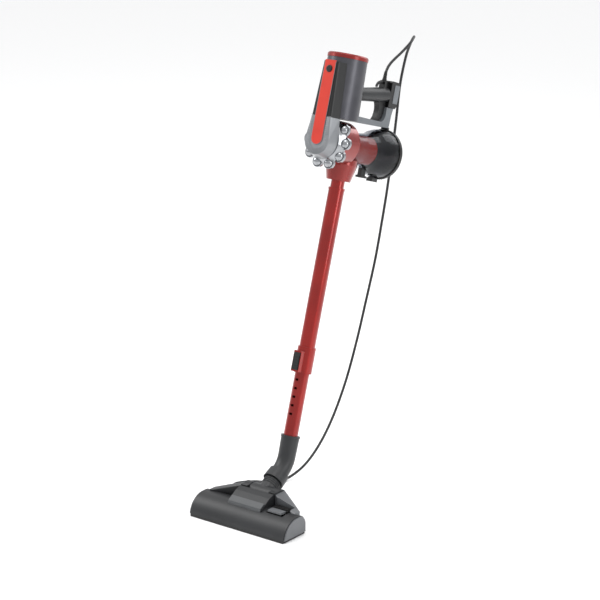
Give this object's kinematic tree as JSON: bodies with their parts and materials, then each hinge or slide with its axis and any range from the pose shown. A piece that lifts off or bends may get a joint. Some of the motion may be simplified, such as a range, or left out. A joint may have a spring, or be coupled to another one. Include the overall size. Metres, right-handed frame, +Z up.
{
  "type": "stick vacuum cleaner",
  "caption": "Corded upright stick vacuum with a wide floor head, telescopic tube, lift-off hand unit, side-lying dust cup and looped grip.",
  "frame": {"origin": "centre of the floor head's sole, on the floor", "axes": "+Z up, -Y is the way the floor head faces, +X is the side of the foot pedal"},
  "size_m": [0.262, 0.6991, 0.9818],
  "materials": {
    "satin_black": "satin",
    "charcoal": "satin",
    "mid_grey": "satin",
    "light_grey": "satin",
    "gloss_black": "gloss",
    "red_metal": "metallic",
    "red_plastic": "gloss",
    "silver": "polished",
    "silver_plastic": "metallic",
    "gunmetal": "metallic",
    "steel": "brushed",
    "aluminium": "cast",
    "rubber": "matt",
    "filter": "pleated",
    "smoke": "clear",
    "bristle": "fibre",
    "cable": "satin"
  },
  "bodies": {
    "floor_head": {"head_shell": "charcoal", "end_cap_left": "mid_grey", "end_cap_right": "mid_grey", "sole_plate": "satin_black", "centre_cover": "charcoal", "cover_plate": "mid_grey", "wing_left": "mid_grey", "wing_right": "charcoal", "rear_frame": "satin_black", "suction_duct": "satin_black", "wheel_axles": "steel", "pedal_pin": "steel", "head_screws": "steel"},
    "pedal": {"foot_pedal": "satin_black", "pedal_key": "mid_grey"},
    "brushes": {"brush_strips": "bristle"},
    "wheel_l": {"wheel_left": "rubber"},
    "wheel_r": {"wheel_right": "rubber"},
    "neck": {"neck_barrel": "charcoal"},
    "lower_stick": {"swivel_collar": "charcoal", "elbow": "charcoal", "lower_tube": "red_metal"},
    "upper_stick": {"upper_tube": "red_metal", "tube_sleeve": "red_metal", "tube_ring": "red_metal"},
    "latch": {"latch_button": "satin_black"},
    "hand_unit": {"neck_adapter": "red_metal", "cyclone_housing": "red_metal", "scallop_shell": "silver", "front_cover": "gloss_black", "ribbed_cover": "silver_plastic", "red_strip": "red_plastic", "strip_trim": "silver", "motor_housing": "gunmetal", "top_cap": "red_plastic", "grip": "charcoal", "rear_block": "gloss_black", "side_plates": "light_grey", "cord_hooks": "satin_black", "finger_guard": "satin_black", "lower_bracket": "mid_grey", "strain_relief": "rubber", "motor": "aluminium", "motor_mount": "rubber", "switch_body": "satin_black", "exhaust_filter": "filter", "filter_cone": "red_plastic", "power_cord": "cable", "cord_coil": "cable", "cord_tie": "cable", "mains_plug": "cable"},
    "switch": {"power_button": "gloss_black"},
    "fan_wheel": {"fan": "aluminium"},
    "cup": {"dust_cup": "smoke", "cup_foot": "satin_black"},
    "lid": {"cup_lid": "satin_black"},
    "lid_catch": {"cup_latch": "gloss_black"}
  },
  "joints": [
    {"name": "pedal_rock", "type": "hinge", "parent": "floor_head", "child": "pedal", "pos_m": [0.078, 0.015, 0.041], "axis": [1, 0, 0], "range_deg": [-6, 0]},
    {"name": "brush_lift", "type": "slide", "parent": "floor_head", "child": "brushes", "axis": [0, 0, 1], "range_m": [0, 0.004]},
    {"name": "wheel_left_spin", "type": "hinge", "parent": "floor_head", "child": "wheel_l", "pos_m": [0.052, 0.048, 0.0097], "axis": [1, 0, 0], "continuous": true},
    {"name": "wheel_right_spin", "type": "hinge", "parent": "floor_head", "child": "wheel_r", "pos_m": [-0.052, 0.048, 0.0097], "axis": [1, 0, 0], "continuous": true},
    {"name": "neck_tilt", "type": "hinge", "parent": "floor_head", "child": "neck", "pos_m": [0, 0.058, 0.052], "axis": [-1, 0, 0], "range_deg": [-17.5, 35]},
    {"name": "neck_swivel", "type": "hinge", "parent": "neck", "child": "lower_stick", "pos_m": [0, 0.058, 0.052], "axis": [0, 0.866, 0.5], "range_deg": [-50, 50]},
    {"name": "telescope", "type": "slide", "parent": "lower_stick", "child": "upper_stick", "axis": [0, 0.3007, 0.9537], "range_m": [-0.08, 0.16]},
    {"name": "latch_press", "type": "slide", "parent": "upper_stick", "child": "latch", "axis": [0, 0.9537, -0.3007], "range_m": [0, 0.0025], "stiffness_N_per_m": 400},
    {"name": "hand_unit_lift", "type": "slide", "parent": "upper_stick", "child": "hand_unit", "axis": [0, 0.3007, 0.9537], "range_m": [0, 0.06]},
    {"name": "power_press", "type": "slide", "parent": "hand_unit", "child": "switch", "axis": [0, 0.9537, -0.3007], "range_m": [0, 0.003], "stiffness_N_per_m": 400},
    {"name": "fan_spin", "type": "hinge", "parent": "hand_unit", "child": "fan_wheel", "pos_m": [0, 0.31903, 0.84226], "axis": [0, 0.3007, 0.9537], "continuous": true},
    {"name": "cup_slide", "type": "slide", "parent": "hand_unit", "child": "cup", "axis": [0, 0.9537, -0.3007], "range_m": [0, 0.12]},
    {"name": "lid_hinge", "type": "hinge", "parent": "cup", "child": "lid", "pos_m": [0, 0.49821, 0.78367], "axis": [1, 0, 0], "range_deg": [0, 75]},
    {"name": "catch_pull", "type": "slide", "parent": "cup", "child": "lid_catch", "axis": [0, -0.3007, -0.9537], "range_m": [0, 0.003], "stiffness_N_per_m": 300}
  ],
  "couplings": [
    {"joint": "pedal_rock", "follows": "brush_lift", "rad_per_m": -26.1}
  ]
}
